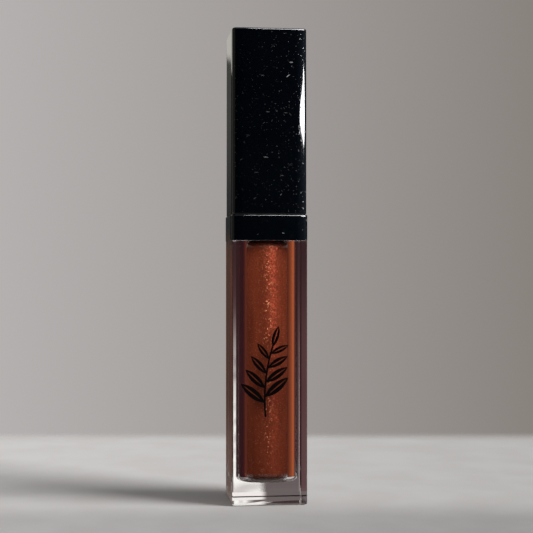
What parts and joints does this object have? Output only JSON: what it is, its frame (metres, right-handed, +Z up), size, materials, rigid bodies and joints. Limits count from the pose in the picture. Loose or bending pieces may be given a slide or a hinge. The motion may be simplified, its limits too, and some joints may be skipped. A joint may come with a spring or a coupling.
{
  "type": "lip gloss tube",
  "caption": "Square clear lip gloss tube with a round inner vial, black collar, black square screw cap and doe-foot wand.",
  "frame": {"origin": "centre of the base's underside", "axes": "+Z up along the tube, from the base to the cap; -Y out of the front face, which carries the printed sprig"},
  "size_m": [0.0174, 0.0174, 0.1072],
  "materials": {
    "clear_shell_plastic": "clear polished acrylic-like plastic",
    "clear_vial_plastic": "clear thin-walled polyester",
    "shimmer_gloss": "russet lip gloss with fine copper shimmer",
    "black_gloss_plastic": "high-gloss black",
    "black_ink": "screen-printed black ink",
    "liner_plastic": "natural polypropylene",
    "wiper_plastic": "soft translucent polyethylene",
    "gasket_foam": "soft white sealing washer",
    "rod_plastic": "smooth black rod, filmed with gloss",
    "tip_plastic": "soft moulded elastomer",
    "flock_fibre": "short nylon flock soaked with gloss"
  },
  "bodies": {
    "bottle": {"outer_shell": "clear_shell_plastic", "inner_vial": "clear_vial_plastic", "collar": "black_gloss_plastic", "wiper": "wiper_plastic", "lip_gloss": "shimmer_gloss", "printed_sprig": "black_ink"},
    "seal": {"seal_gasket": "gasket_foam"},
    "cap": {"cap_shell": "black_gloss_plastic", "inner_cap": "liner_plastic", "wand_rod": "rod_plastic", "applicator_core": "tip_plastic", "applicator_flock": "flock_fibre"}
  },
  "joints": [
    {"name": "cap_rise", "type": "slide", "parent": "bottle", "child": "seal", "axis": [0, 0, 1], "range_m": [0, 0.07], "deforming": ["wiper"]},
    {"name": "cap_turn", "type": "hinge", "parent": "seal", "child": "cap", "pos_m": [0, 0, 0.0783], "axis": [0, 0, 1], "range_deg": [0, 5040]}
  ],
  "couplings": [
    {"joint": "cap_rise", "follows": "cap_turn", "m_per_rad": 0.00079577}
  ]
}
